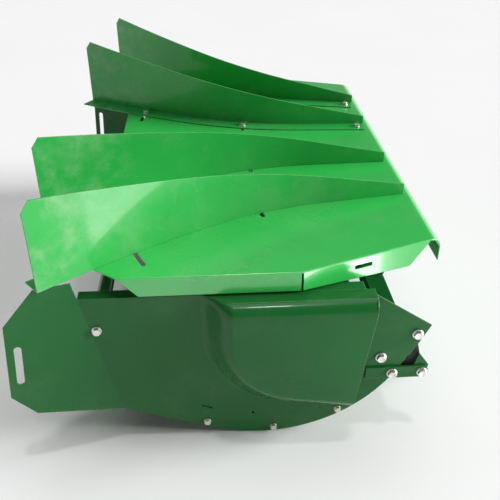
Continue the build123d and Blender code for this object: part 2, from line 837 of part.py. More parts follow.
def front_gusset():
    """The gusset behind the brace's front end, clear of the panel's front edge."""
    low = brace_z - brace_width / 2
    high = brace_z + brace_width / 2
    face = outline_face([
        (brace_front_x - gusset_heel, low),
        (brace_front_x - gusset_heel, high),
        (brace_front_x - gusset_heel / 2, high + gusset_height),
        (brace_front_x + brace_width / 2, high),
        (brace_front_x + brace_width / 3, low),
    ])
    body = plate_xz(face, panel_inner_y, panel_outer_y)
    return body - cylinder_y(brace_front_x, brace_z, m12[0] + bolt_clearance, panel_inner_y, panel_outer_y)


def inlet_seal():
    """The rubber sheet inside the +Y panel that closes the notch at its front edge."""
    outer = beam_half_span
    under_beam = -beam_size / 2 - 15
    face = outline_face([
        (beam_front_x + seal_beam_gap, throat_z + seal_overlap),
        (throat_x, throat_z + seal_overlap),
        (throat_x + 11, -26),
        (throat_x + 1, -62),
        (throat_x - 17, -92),
        (throat_x - 55, -92),
        (throat_x - 80, -70),
        (throat_x - 80, under_beam),
        (beam_front_x + seal_beam_gap, under_beam),
    ])
    body = plate_xz(face, outer - seal_thickness, outer)
    x = brace_front_x - brace_bolt_pitch
    return body - cylinder_y(x, brace_z, m12[0] + bolt_clearance, outer - seal_thickness, outer)


def seal_spacer():
    """The ring between the +Y panel and the seal, round the brace's rear bolt."""
    x = brace_front_x - brace_bolt_pitch
    body = cylinder_y(x, brace_z, spacer_radius, beam_half_span, panel_inner_y)
    return body - cylinder_y(x, brace_z, m12[0] + bolt_clearance, beam_half_span, panel_inner_y)


def side_plane(x, z, y, outward):
    """A plane on the +Y side that faces outwards or inwards."""
    return Plane((x, y, z), x_dir=(1, 0, 0), z_dir=(0, 1 if outward else -1, 0))


def side_fasteners(points, size, head_y, nut_y):
    """Bolts with their washers and nuts through the +Y side, head outside."""
    bolts = []
    washers = []
    nuts = []
    for x, z in points:
        washers.append(washer(size, side_plane(x, z, head_y, True)))
        bolts.append(bolt(size, side_plane(x, z, head_y + washer_thickness, True),
                          head_y + washer_thickness - nut_y))
        nuts.append(nut(size, side_plane(x, z, nut_y, False)))
    return bolts, washers, nuts


def both_sides(shapes):
    """The pieces together with their mirror images."""
    return group(shapes + [mirrored(shape) for shape in shapes])


# ---------------------------------------------------------------- nodes
deck_sheet = deck()
export(fillet(flange_bends(deck_sheet), bend_radius), "tailboard_deck")
export(stiffener(stiffener_rear_x, rear_half - sheet), "rear_stiffener")
export(stiffener(stiffener_front_x, front_half - stiffener_front_inset), "front_stiffener")
export(group([deck_lug(y) for y in lug_positions(0)]), "tailboard_hinge_lugs")

for vane in vanes:
    export(vane.place(vane_solid(), vane.setting), vane.name)
    for kind, pieces in vane_fasteners().items():
        export(group([vane.place(piece, vane.setting) for piece in pieces]), f"{vane.name}_{kind}")

panel = side_panel()
air_hood = hood()
for suffix, turn in (("left", lambda shape: shape), ("right", mirrored)):
    export(turn(panel), f"side_panel_{suffix}")
    export(turn(air_hood), f"air_hood_{suffix}")
    export(turn(front_brace()), f"front_brace_{suffix}")
    export(turn(front_gusset()), f"front_gusset_{suffix}")
    export(turn(inlet_seal()), f"inlet_seal_{suffix}")

export(bottom_pan(), "bottom_pan")
export(front_beam(), "front_beam")
export(both_sides([beam_end_plate()]), "beam_end_plates")
export(mounting_plate(), "mounting_plate")
export(both_sides([plate_web()]), "mounting_webs")
export(both_sides([seal_spacer()]), "seal_spacers")
export(group([hinge_bracket(y) for y in lug_positions(lug_thickness + lug_gap)]), "hinge_brackets")
export(hinge_rod(), "hinge_rod")
export(group(rod_washers()), "hinge_rod_washers")
export(group(split_pins()), "hinge_split_pins")
export(tie_tube(), "rear_tie_tube")
export(both_sides([rest_pad()]), "rest_pads")

pan_points = [(point.X, point.Z) for point in pan_bolt_points()]
pan_bolts, pan_washers, pan_nuts = side_fasteners(pan_points, m8, panel_outer_y, panel_inner_y - sheet)
export(both_sides(pan_bolts), "pan_bolts")
export(both_sides(pan_washers), "pan_washers")
export(both_sides(pan_nuts), "pan_nuts")

beam_set = side_fasteners(beam_bolts, m12, panel_outer_y, beam_half_span)
brace_rear = side_fasteners([(brace_front_x - brace_bolt_pitch, brace_z)], m12, brace_outer_y,
                            beam_half_span - seal_thickness)
brace_tip = side_fasteners([(brace_front_x, brace_z)], m12, brace_outer_y, panel_inner_y)
export(both_sides(beam_set[0]), "beam_bolts")
export(both_sides(beam_set[1]), "beam_bolt_washers")
export(both_sides(beam_set[2]), "beam_bolt_nuts")
export(both_sides(brace_rear[0] + brace_tip[0]), "brace_bolts")
export(both_sides(brace_rear[1] + brace_tip[1]), "brace_bolt_washers")
export(both_sides(brace_rear[2] + brace_tip[2]), "brace_bolt_nuts")

tie_plane = side_plane(tie_x, tie_z, panel_outer_y, True)
tie_bolt = bolt(m10, tie_plane.offset(washer_thickness), tie_bolt_reach)
export(both_sides([tie_bolt]), "tie_bolts")
export(both_sides([washer(m10, tie_plane)]), "tie_bolt_washers")
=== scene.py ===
import bpy
import bmesh
import json
import math
import random
from mathutils import Matrix, Vector


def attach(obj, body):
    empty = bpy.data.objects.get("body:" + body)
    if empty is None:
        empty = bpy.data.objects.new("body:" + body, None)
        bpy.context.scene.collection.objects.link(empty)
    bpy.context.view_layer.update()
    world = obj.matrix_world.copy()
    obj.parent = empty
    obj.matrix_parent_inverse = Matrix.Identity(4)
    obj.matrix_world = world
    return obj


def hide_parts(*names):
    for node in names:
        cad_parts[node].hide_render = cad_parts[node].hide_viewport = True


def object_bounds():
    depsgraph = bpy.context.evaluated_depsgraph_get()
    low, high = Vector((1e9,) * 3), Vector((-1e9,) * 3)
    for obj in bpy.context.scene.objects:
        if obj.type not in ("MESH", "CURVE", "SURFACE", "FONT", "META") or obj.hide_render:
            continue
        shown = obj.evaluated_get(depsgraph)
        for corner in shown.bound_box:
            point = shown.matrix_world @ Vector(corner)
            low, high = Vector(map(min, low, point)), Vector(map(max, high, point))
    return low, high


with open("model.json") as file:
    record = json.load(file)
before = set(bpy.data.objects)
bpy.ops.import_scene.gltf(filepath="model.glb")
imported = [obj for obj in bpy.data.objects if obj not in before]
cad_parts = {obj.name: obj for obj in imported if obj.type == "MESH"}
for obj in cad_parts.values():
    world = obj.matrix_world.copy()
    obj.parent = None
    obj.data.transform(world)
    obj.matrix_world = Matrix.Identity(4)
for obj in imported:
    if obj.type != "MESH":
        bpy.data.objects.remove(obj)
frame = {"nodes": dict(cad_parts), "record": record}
cadBounds = [list(v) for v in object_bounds()]


class Sock:
    # wraps an output socket, so that shader maths reads as an expression
    def __init__(self, finish, out):
        self.finish = finish
        self.out = out

    def join(self, operation, first, second):
        return self.finish.node("ShaderNodeMath", {"operation": operation}, {0: first, 1: second})

    def __add__(self, other):
        return self.join("ADD", self, other)

    def __radd__(self, other):
        return self.join("ADD", other, self)

    def __sub__(self, other):
        return self.join("SUBTRACT", self, other)

    def __rsub__(self, other):
        return self.join("SUBTRACT", other, self)

    def __mul__(self, other):
        return self.join("MULTIPLY", self, other)

    def __rmul__(self, other):
        return self.join("MULTIPLY", other, self)

    def atMost(self, limit):
        return self.join("MINIMUM", self, limit)

    def above(self, low, high):
        # 0 below low, 1 above high, smooth between
        return self.finish.node("ShaderNodeMapRange", {"interpolation_type": "SMOOTHSTEP"},
                                {"Value": self, "From Min": low, "From Max": high})


class Finish:
    # the nodes of a material or of the world; node() makes every one of them
    def __init__(self, owner):
        owner.use_nodes = True
        self.owner = owner
        self.tree = owner.node_tree
        self.tree.nodes.clear()

    def node(self, kind, settings=None, values=None, output=0):
        made = self.tree.nodes.new(kind)
        for key, value in (settings or {}).items():
            setattr(made, key, value)
        for key, value in (values or {}).items():
            if isinstance(value, Sock):
                self.tree.links.new(value.out, made.inputs[key])
            else:
                made.inputs[key].default_value = value
        return Sock(self, made.outputs[output]) if made.outputs else None

    def mix(self, share, first, second):
        # colour mix
        return self.node("ShaderNodeMix", {"data_type": "RGBA"}, {0: share, 6: first, 7: second}, 2)

    def place(self):
        # object coordinates
        return self.node("ShaderNodeTexCoord", output=3)

    def part(self, vector, axis):
        return self.node("ShaderNodeSeparateXYZ", {}, {0: vector}, axis)

    def noise(self, scale, detail, rough, stretch=None, distortion=0.0):
        where = self.place()
        if stretch:
            where = self.node("ShaderNodeMapping", {}, {"Vector": where, "Scale": stretch})
        return self.node("ShaderNodeTexNoise", {"noise_dimensions": "3D"},
                         {"Vector": where, "Scale": scale, "Detail": detail, "Roughness": rough,
                          "Distortion": distortion})

    def rounded(self, radius):
        # the normal with the edges rounded off
        return self.node("ShaderNodeBevel", {"samples": 6}, {"Radius": radius})

    def edges(self, rounded):
        # how far the rounded normal leans from the face's own: bright on edges
        own = self.node("ShaderNodeNewGeometry", output=1)
        return 1 - self.node("ShaderNodeVectorMath", {"operation": "DOT_PRODUCT"}, {0: rounded, 1: own}, 1)

    def bump(self, strength, distance, height, normal):
        return self.node("ShaderNodeBump", {}, {"Strength": strength, "Distance": distance,
                                                "Height": height, "Normal": normal})

    def surface(self, even, varied):
        # even values sit on the shader's own sockets
        shader = self.node("ShaderNodeBsdfPrincipled", {}, {**even, **varied})
        self.node("ShaderNodeOutputMaterial", {}, {0: shader})
        return self.owner


# Paint. A noise is its scale, detail and roughness; a range is where its mask starts and is full.
paintLook = {
    "green": (0.030, 0.510, 0.082, 1),
    "deepGreen": (0.009, 0.092, 0.020, 1),
    "faded": (0.080, 0.540, 0.110, 1),
    # lighter green for worn edges and scuffs, and for a painted highlight along every edge
    "bareEdgeAndHighlight": (0.300, 0.600, 0.290, 1),
    "dust": (0.52, 0.56, 0.44, 1),
    "cloud": (3.1, 4.0, 0.6), "cloudRange": (0.35, 0.75), "cloudShare": 0.14,
    "patch": (14.0, 5.0, 0.62), "patchRange": (0.52, 0.78), "patchShare": 0.22,
    # edge mask: the even share is painted highlight along the edges together with even wear, the chipped
    # share is wear
    "edgeRadius": 0.0016, "edgeRange": (0.06, 0.34), "evenWearAndHighlight": 0.35, "wearChipped": 0.55,
    "chips": (260.0, 2.0, 0.5), "chipRange": (0.40, 0.62),
    "soft": (5.5, 5.0, 0.65), "softRange": (0.44, 0.78), "softDust": 0.6,
    "speck": (520.0, 2.0, 0.6), "speckRange": (0.60, 0.72), "speckDust": 0.5,
    "streak": (22.0, 4.0, 0.7), "streakRange": (0.60, 0.74), "streakDust": 0.25,
    "streakStretch": (1.0, 7.0, 7.0), "dustLimit": 0.6,
    "tip": (11.0, 5.0, 0.7), "tipRange": (0.42, 0.74), "tipDistortion": 0.2,
    "tipReach": (0.60, 0.80),  # metres behind the deck's front edge
    "scuff": (70.0, 3.0, 0.75), "scuffRange": (0.66, 0.72), "scuffStretch": (1.0, 16.0, 3.0),
    "scuffShare": 0.5,
    "peel": (210.0, 2.0, 0.45), "peelHeight": 0.10, "waves": (6.5, 1.0, 0.4), "waveHeight": 0.8,
    "scuffDepth": 0.15, "bumpStrength": 0.16, "bumpDistance": 0.0012,
    "roughLow": 0.17, "roughHigh": 0.34, "dustRough": 0.35, "scuffRough": 0.18, "wearRough": 0.15,
    "coat": 0.95, "coatRough": 0.06, "ior": 1.5,
}
# paintedShade: the share of painted shade mixed into the one green paint; the housing, most of all, and the
# vanes are darker, shaded copies of the deck's paint
paintTones = {
    "deck_paint": {"name": "deckPaint", "paintedShade": 0.05, "dusty": 0.12, "scuffed": 0.30, "gloss": 0.9},
    "vane_paint": {"name": "vanePaint", "paintedShade": 0.34, "dusty": 0.13, "scuffed": 0.20, "gloss": 0.32,
                   "tips": 0.22},
    "housing_paint": {"name": "housingPaint", "paintedShade": 0.935, "dusty": 0.06, "scuffed": 0.15, "gloss": 0.20},
}


def greenPaint(name, paintedShade, dusty, scuffed, gloss, tips=0.0):
    # gloss machine paint: orange peel, edges lightened as thin paint and as painted highlight, soft fading,
    # dust and fine scuffs; a share of painted shade darkens the whole copy
    f = Finish(bpy.data.materials.new(name))
    look = paintLook
    cloud = f.noise(*look["cloud"])
    patch = f.noise(*look["patch"]).above(*look["patchRange"])
    colour = f.mix(cloud.above(*look["cloudRange"]) * look["cloudShare"], look["green"], look["deepGreen"])
    colour = f.mix(patch * look["patchShare"], colour, look["faded"])
    # painted shade: the whole copy is darkened towards deepGreen by its paintedShade share
    colour = f.mix(paintedShade, colour, look["deepGreen"])
    rounded = f.rounded(look["edgeRadius"])
    chips = f.noise(*look["chips"]).above(*look["chipRange"])
    # edges lightened: partly paint worn thin, partly a painted highlight where sheet edges catch light
    wearAndHighlight = f.edges(rounded).above(*look["edgeRange"]) * (chips * look["wearChipped"] + look["evenWearAndHighlight"])
    colour = f.mix(wearAndHighlight, colour, look["bareEdgeAndHighlight"])
    streak = f.noise(*look["streak"], stretch=look["streakStretch"]).above(*look["streakRange"])
    speck = f.noise(*look["speck"]).above(*look["speckRange"])
    soft = f.noise(*look["soft"]).above(*look["softRange"])
    dust = (soft * look["softDust"] + soft * speck * look["speckDust"] + streak * look["streakDust"]) * dusty
    colour = f.mix(dust.atMost(look["dustLimit"]), colour, look["dust"])
    if tips:
        behind = -1 * f.part(f.place(), 0)
        cloudy = f.noise(*look["tip"], distortion=look["tipDistortion"]).above(*look["tipRange"])
        colour = f.mix(behind.above(*look["tipReach"]) * cloudy * tips, colour, look["dust"])
    scuff = f.noise(*look["scuff"], stretch=look["scuffStretch"]).above(*look["scuffRange"]) * scuffed
    colour = f.mix(scuff * look["scuffShare"], colour, look["bareEdgeAndHighlight"])
    rough = (cloud * (look["roughHigh"] - look["roughLow"]) + look["roughLow"]
             + dust * look["dustRough"] + scuff * look["scuffRough"] + wearAndHighlight * look["wearRough"])
    height = (f.noise(*look["peel"]) * look["peelHeight"] + f.noise(*look["waves"]) * look["waveHeight"]
              - scuff * look["scuffDepth"])
    normal = f.bump(look["bumpStrength"], look["bumpDistance"], height, rounded)
    return f.surface({"Coat Weight": look["coat"] * gloss, "Coat Roughness": look["coatRough"],
                      "IOR": look["ior"], "Specular IOR Level": gloss},
                     {"Base Color": colour, "Roughness": rough, "Normal": normal})


zincLook = {
    "bright": (0.74, 0.74, 0.71, 1),
    "yellowed": (0.62, 0.56, 0.38, 1),
    "grime": (0.10, 0.10, 0.085, 1),
    "cloud": (60.0, 4.0, 0.6), "cloudRange": (0.45, 0.72), "cloudShare": 0.55,
    "spots": (180.0, 3.0, 0.7), "spotRange": (0.58, 0.74), "spotShare": 0.45,
    "brushed": (900.0, 2.0, 0.5), "bumpStrength": 0.25, "bumpDistance": 0.0003, "edgeRadius": 0.0007,
    "rough": 0.22, "cloudRough": 0.18, "grimeRough": 0.3, "grimeDull": 0.6, "ior": 1.5,
}


def zincPlate(name):
    f = Finish(bpy.data.materials.new(name))
    look = zincLook
    cloud = f.noise(*look["cloud"])
    yellowed = cloud.above(*look["cloudRange"]) * look["cloudShare"]
    grime = f.noise(*look["spots"]).above(*look["spotRange"])
    colour = f.mix(yellowed, look["bright"], look["yellowed"])
    colour = f.mix(grime * look["spotShare"], colour, look["grime"])
    rough = cloud * look["cloudRough"] + look["rough"] + grime * look["grimeRough"]
    normal = f.bump(look["bumpStrength"], look["bumpDistance"], f.noise(*look["brushed"]),
                    f.rounded(look["edgeRadius"]))
    return f.surface({"IOR": look["ior"]}, {"Base Color": colour, "Roughness": rough, "Normal": normal,
                                            "Metallic": 1 - grime * look["grimeDull"]})


rubberLook = {
    "black": (0.012, 0.012, 0.013, 1),
    "greyed": (0.045, 0.043, 0.04, 1),
    "cloud": (40.0, 4.0, 0.6), "cloudRange": (0.4, 0.75), "cloudShare": 0.5,
    "grain": (700.0, 3.0, 0.6), "bumpStrength": 0.4, "bumpDistance": 0.0004, "edgeRadius": 0.001,
    "rough": 0.55, "cloudRough": 0.2, "ior": 1.5,
}


def blackRubber(name):
    f = Finish(bpy.data.materials.new(name))
    look = rubberLook
    cloud = f.noise(*look["cloud"])
    colour = f.mix(cloud.above(*look["cloudRange"]) * look["cloudShare"], look["black"], look["greyed"])
    rough = cloud * look["cloudRough"] + look["rough"]
    normal = f.bump(look["bumpStrength"], look["bumpDistance"], f.noise(*look["grain"]),
                    f.rounded(look["edgeRadius"]))
    return f.surface({"IOR": look["ior"]}, {"Base Color": colour, "Roughness": rough, "Normal": normal})


finishes = {slot: greenPaint(**tone) for slot, tone in paintTones.items()}
finishes["zinc_hardware"] = zincPlate("zincPlate")
finishes["rubber"] = blackRubber("blackRubber")

slotOf = {row["node"]: row["material_slot"] for row in frame["record"]["subparts"]}
for name, node in frame["nodes"].items():
    node.data.materials.clear()
    node.data.materials.append(finishes[slotOf[name]])
print("finishes on", len(slotOf), "nodes")


class Build:
    # collects the vertices and faces of one piece
    def __init__(self):
        self.verts = []
        self.faces = []

    def rings(self, rows, closed=True, endCaps=True, loop=False):
        # rows of points joined by quads; closed joins each row's ends, loop the last row to the first
        start = len(self.verts)
        count = len(rows[0])
        for row in rows:
            self.verts.extend(tuple(point) for point in row)
        span = count if closed else count - 1
        pairs = [(i, i + 1) for i in range(len(rows) - 1)]
        if loop:
            pairs.append((len(rows) - 1, 0))
        for low, high in pairs:
            for j in range(span):
                k = (j + 1) % count
                self.faces.append((start + low * count + j, start + low * count + k,
                                   start + high * count + k, start + high * count + j))
        if endCaps:
            self.faces.append(tuple(range(start + count - 1, start - 1, -1)))
            last = start + (len(rows) - 1) * count
            self.faces.append(tuple(range(last, last + count)))

    def turned(self, profile, matrix, count, corner=0.0, hollow=False):
        # a profile of radii and heights turned about the matrix's Z
        rows = [ringAt(radius, height, matrix, count, corner) for radius, height in profile]
        self.rings(rows, endCaps=not hollow, loop=hollow)

    def tube(self, path, radii, sides):
        # a round wire along a path of points
        rows = []
        up = Vector((0.13, 0.21, 0.97))  # any direction that no wire runs along
        for i, point in enumerate(path):
            ahead = path[min(i + 1, len(path) - 1)] - path[max(i - 1, 0)]
            ahead.normalize()
            side = ahead.cross(up)
            if side.length < 0.2:  # the wire has turned to run along up
                side = ahead.cross(Vector((1, 0, 0)))
            side.normalize()
            up = side.cross(ahead)
            turns = [math.tau * j / sides for j in range(sides)]
            rows.append([point + (side * math.cos(turn) + up * math.sin(turn)) * radii[i] for turn in turns])
        self.rings(rows)


def ringAt(radius, height, matrix, count, corner):
    # a ring of points; the radius or the height may change with the turn
    row = []
    for j in range(count):
        turn = math.tau * j / count
        r = radius(turn) if callable(radius) else radius
        z = height(turn) if callable(height) else height
        row.append(matrix @ Vector((r * math.cos(turn + corner), r * math.sin(turn + corner), z)))
    return row


def addPiece(name, build, body, slot, node=None, sharp=35):
    # edges that turn by more than the sharp angle stay crisp
    mesh = bpy.data.meshes.new(name)
    mesh.from_pydata(build.verts, [], build.faces)
    shape = bmesh.new()
    shape.from_mesh(mesh)
    bmesh.ops.recalc_face_normals(shape, faces=shape.faces)
    shape.to_mesh(mesh)
    shape.free()
    mesh.shade_smooth()
    mesh.set_sharp_from_angle(angle=math.radians(sharp))
    mesh.materials.append(finishes[slot])
    piece = bpy.data.objects.new(name, mesh)
    bpy.context.scene.collection.objects.link(piece)
    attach(piece, body)
    if node:
        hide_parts(node)


def bodyOf(node):
    return next(body for body, nodes in frame["record"]["behaviour"]["bodies"].items() if node in nodes)


def addLook(node, build, sharp=35):
    addPiece(node + "Look", build, bodyOf(node), slotOf[node], node, sharp)


def looseParts(node):
    # the node's separate solids, as lists of points; split vertices within 0.01 mm are joined
    mesh = frame["nodes"][node].data
    keys = {}
    ids = []
    for vertex in mesh.vertices:
        key = tuple(round(c * 1e5) for c in vertex.co)
        ids.append(keys.setdefault(key, len(keys)))
    parent = list(range(len(keys)))

    def root(i):
        while parent[i] != i:
            parent[i] = parent[parent[i]]
            i = parent[i]
        return i

    for polygon in mesh.polygons:
        first = root(ids[polygon.vertices[0]])
        for index in polygon.vertices[1:]:
            parent[root(ids[index])] = first
    groups = {}
    for vertex, key in zip(mesh.vertices, ids):
        groups.setdefault(root(key), []).append(vertex.co.copy())
    return list(groups.values())


def measured(points, axis):
    # a solid's middle, its two ends along the axis and each point's distance from the axis
    lows = [min(p[i] for p in points) for i in range(3)]
    highs = [max(p[i] for p in points) for i in range(3)]
    middle = Vector([(a + b) / 2 for a, b in zip(lows, highs)])
    across = [i for i in range(3) if i != axis]
    reach = [math.hypot(*(p[i] - middle[i] for i in across)) for p in points]
    return middle, lows[axis], highs[axis], reach


def standing(middle, axis, level, upward=True):
    # a matrix whose +Z runs along the axis, upward or downward, with its origin at that level
    place = middle.copy()
    place[axis] = level
    ahead = Vector([0, 0, 0])
    ahead[axis] = 1 if upward else -1
    across = Vector((1, 0, 0))
    basis = Matrix((across, ahead.cross(across), ahead)).transposed().to_4x4()
    basis.translation = place
    return basis


# Fasteners. The pitch of a thread goes by its radius in whole millimetres.
hexLook = {"segments": 36, "crown": 0.94, "cone": math.tan(math.radians(30)), "faceStep": 0.0003,
           "dish": 0.00025, "dishReach": 0.86, "boreLead": 0.0006, "cornerBand": 0.97}
threadLook = {"length": 0.015, "depth": 0.085, "perTurn": 6, "sides": 20, "neck": 0.985, "leastPlain": 0.25,
              "runOut": 0.0012, "endHeight": 0.0010, "endWide": 0.90, "endNarrow": 0.78,
              "pitch": {4: 0.00125, 5: 0.0015, 6: 0.00175}, "otherPitch": 0.0015, "endBand": 0.0001}
washerLook = {"segments": 40, "round": 0.0004, "boreRound": 0.6, "easing": 0.3}


def hexRadius(flats, turn):
    return flats / 2 / math.cos((turn % (math.pi / 3)) - math.pi / 6)


def coneDrop(flats, turn):
    # how far the chamfer cone cuts in at this turn of the hex
    return (hexRadius(flats, turn) - flats / 2 * hexLook["crown"]) * hexLook["cone"]


def hexCorners(points, reach):
    limit = max(reach) * hexLook["cornerBand"]
    return [p for p, r in zip(points, reach) if r > limit]


def cornerTurn(matrix, corner):
    local = matrix.inverted() @ corner
    return math.atan2(local.y, local.x)


def makeHead(build, matrix, flats, height, corner):
    # crowned hex head on a thin washer face
    crown = flats / 2 * hexLook["crown"]
    step = hexLook["faceStep"]

    def hexAt(turn):
        return hexRadius(flats, turn)

    def shoulder(turn):
        return height - coneDrop(flats, turn)

    profile = [(crown, 0), (crown, step), (hexAt, step), (hexAt, shoulder), (crown, height),
               (crown * hexLook["dishReach"], height - hexLook["dish"])]
    build.turned(profile, matrix, hexLook["segments"], corner)


def makeShank(build, matrix, radius, length):
    # plain neck, then a cut helical thread with a rounded end
    look = threadLook
    pitch = look["pitch"].get(round(radius * 1000), look["otherPitch"])
    plain = max(length - look["length"], length * look["leastPlain"])
    neck = radius * look["neck"]
    profile = [(neck, 0), (neck, -plain)]
    for i in range(int((length - plain - look["runOut"]) / pitch * look["perTurn"])):

        def cut(turn, i=i):
            phase = (i / look["perTurn"] + turn / math.tau) % 1.0
            return radius * (1 - look["depth"] * 2 * abs(phase - 0.5))
        profile.append((cut, -plain - pitch * i / look["perTurn"]))
    end = [(radius * look["endWide"], -length + look["endHeight"]), (radius * look["endNarrow"], -length)]
    build.turned(profile + end, matrix, look["sides"])


def makeNut(build, matrix, flats, height, bore, corner):
    # hex chamfered on both faces, with a chamfered bore
    crown = flats / 2 * hexLook["crown"]
    lead = hexLook["boreLead"]

    def hexAt(turn):
        return hexRadius(flats, turn)

    def topEdge(turn):
        return height - coneDrop(flats, turn)

    def lowEdge(turn):
        return coneDrop(flats, turn)

    profile = [(bore + lead, 0), (crown, 0), (hexAt, lowEdge), (hexAt, topEdge), (crown, height),
               (bore + lead, height), (bore, height - lead), (bore, lead)]
    build.turned(profile, matrix, hexLook["segments"], corner, hollow=True)


def makeWasher(build, matrix, far, height, bore):
    # stamped disc: rounded outside, sheared bore
    edge = washerLook["round"]
    inner = edge * washerLook["boreRound"]
    ease = edge * washerLook["easing"]
    profile = [(bore, inner), (bore + inner, 0), (far - edge, 0), (far - ease, ease), (far, edge),
               (far, height - edge), (far - ease, height - ease), (far - edge, height),
               (bore + edge, height), (bore, height - edge)]
    build.turned(profile, matrix, washerLook["segments"], hollow=True)


def detailBolts(node, axis):
    build = Build()
    for points in looseParts(node):
        middle, low, high, reach = measured(points, axis)
        corners = hexCorners(points, reach)
        levels = [p[axis] for p in corners]
        upward = high - max(levels) < min(levels) - low  # the head is at the upper end
        seat, top, end = (min(levels), high, low) if upward else (max(levels), low, high)
        matrix = standing(middle, axis, seat, upward)
        shank = max(r for p, r in zip(points, reach) if abs(p[axis] - end) < threadLook["endBand"])
        flats = max(reach) * math.sqrt(3)
        makeHead(build, matrix, flats, abs(top - seat), cornerTurn(matrix, corners[0]))
        makeShank(build, matrix, shank, abs(seat - end))
    addLook(node, build)


def detailNuts(node, axis):
    build = Build()
    for points in looseParts(node):
        middle, low, high, reach = measured(points, axis)
        matrix = standing(middle, axis, low)
        corner = cornerTurn(matrix, hexCorners(points, reach)[0])
        makeNut(build, matrix, max(reach) * math.sqrt(3), high - low, min(reach), corner)
    addLook(node, build)


def detailWashers(node, axis):
    build = Build()
    for points in looseParts(node):
        middle, low, high, reach = measured(points, axis)
        makeWasher(build, standing(middle, axis, low), max(reach), high - low, min(reach))
    addLook(node, build)


for node in sorted(frame["nodes"]):
    along = 2 if node.startswith("vane_") else 1
    if node.endswith("_bolts"):
        detailBolts(node, along)
    elif node.endswith("_nuts"):
        detailNuts(node, along)
    elif node.endswith("washers"):
        detailWashers(node, along)
print("bolts, nuts and washers ready")


# Split pins: an eye, two legs side by side and their bent tips. Bend levels count from the tips.
pinLook = {"wire": 0.00068, "eye": 0.0020, "spread": 0.00072, "tip": 0.0021, "sides": 8,
           "bendLevels": (0.0012, 0.0025, 0.0042), "tipEase": 0.8, "legEase": 1.3, "legTop": 0.0026,
           "eyeStart": 250, "eyeTurn": 320, "eyeSteps": 12, "sharp": 60}


def splitPins(node):
    build = Build()
    wire, eye, spread, tip = (pinLook[key] for key in ("wire", "eye", "spread", "tip"))
    first, second, third = pinLook["bendLevels"]
    for points in looseParts(node):
        middle, low, high = measured(points, 2)[:3]
        eyeZ = high - eye - wire
        leg = [(tip, low + wire), (tip * pinLook["tipEase"], low + first),
               (spread * pinLook["legEase"], low + second), (spread, low + third),
               (spread, eyeZ - pinLook["legTop"])]
        arch = []
        for step in range(pinLook["eyeSteps"] + 1):
            turn = math.radians(pinLook["eyeStart"] - step * pinLook["eyeTurn"] / pinLook["eyeSteps"])
            arch.append((eye * math.cos(turn), eyeZ + eye * math.sin(turn)))
        path = [(-y, z) for y, z in leg] + arch + leg[::-1]
        line = [Vector((middle.x, middle.y + y, z)) for y, z in path]
        build.tube(line, [wire] * len(line), pinLook["sides"])
    addLook(node, build, pinLook["sharp"])


splitPins("hinge_split_pins")
print("split pins ready")


# Pressed side hoods: one soft sheet that rises from the panel without a hard crease.
hoodShape = {
    "x": -0.324, "z": 0.068, "radius": 0.173, "slope": math.radians(9.5),
    "foot": 0.046, "crest": -0.030,  # how far the sheet's foot and crest lie outside that radius
    "height": 0.060, "sheet": 0.003, "sunk": 0.0015, "innerLeast": 0.001,
    "top": 0.166, "mouthTop": -0.170, "mouthLow": -0.206, "mouthLowZ": -0.121,
    "panelY": 0.640, "shoulder": 0.032, "steps": 18, "levels": 14, "crowding": 1.7,
    "bendSteps": 24, "floorSteps": 8, "lidInset": 0.0006, "lidStart": 0.0002, "lidBack": 0.001,
    "lidGap": 0.0004, "hem": 0.0024, "hemTop": 0.163, "hemSides": 10, "sharp": 50, "hemSharp": 60,
}
hoodLean = (hoodShape["mouthTop"] - hoodShape["mouthLow"]) / (hoodShape["top"] - hoodShape["mouthLowZ"])


def hoodLevels():
    # heights down the hood's straight rear side, close together on the rounded shoulder
    top = hoodShape["top"] - hoodShape["lidInset"]
    drop = top - hoodShape["z"]
    count = hoodShape["levels"]
    return [top - drop * (i / count) ** hoodShape["crowding"] for i in range(count + 1)]


def mouthX(z):
    return hoodShape["mouthLow"] + hoodLean * (z - hoodShape["mouthLowZ"])


def hoodRow(growth):
    # one U-shaped line, from the top of its rear side down and forward to the mouth
    shape = hoodShape
    radius = shape["radius"] + growth
    row = [(shape["x"] - radius, z) for z in hoodLevels()]
    last = math.radians(270) - shape["slope"]
    for i in range(1, shape["bendSteps"] + 1):
        turn = math.pi + (last - math.pi) * i / shape["bendSteps"]
        row.append((shape["x"] + radius * math.cos(turn), shape["z"] + radius * math.sin(turn)))
    bendX, bendZ = row[-1]
    fall = math.tan(shape["slope"])
    endX = mouthX(bendZ + bendX * fall) / (1 + hoodLean * fall)
    for i in range(1, shape["floorSteps"] + 1):
        x = bendX + (endX - bendX) * i / shape["floorSteps"]
        row.append((x, bendZ - (x - bendX) * fall))
    return row


def shoulderShare(z):
    # how much of the hood's height is left where its face curves in towards the top
    reach = hoodShape["shoulder"]
    over = max(0.0, z - (hoodShape["top"] - reach))
    return 1 - (reach - math.sqrt(max(reach * reach - over * over, 0.0))) / hoodShape["height"]


def hoodY(rise, z, side, inner):
    level = rise * shoulderShare(z) - hoodShape["sunk"]
    if inner:
        level = max(level - hoodShape["sheet"], -hoodShape["sunk"] - hoodShape["innerLeast"])
    return side * (hoodShape["panelY"] + level)


def hoodSheet(build, side, inner, levels, full):
    # one face of the sheet: rows from the foot up to the crest, then the flat top out to the mouth
    shape = hoodShape
    rows = []
    for i in range(shape["steps"] + 1):
        share = i / shape["steps"]
        growth = shape["foot"] + (shape["crest"] - shape["foot"]) * share
        rise = full * share * share * (3 - 2 * share)
        rows.append([(x, hoodY(rise, z, side, inner), z) for x, z in hoodRow(growth)])
    build.rings(rows, closed=False, endCaps=False)
    last = len(levels) - 1
    mouth = len(build.verts)
    base = mouth - len(rows[0])
    build.verts.extend((mouthX(z), hoodY(full, z, side, inner), z) for z in levels)
    for i in range(last):
        build.faces.append((base + i, base + i + 1, mouth + i + 1, mouth + i))
    build.faces.append(tuple(range(base + last, mouth)) + (mouth + last,))
    return rows, base, mouth


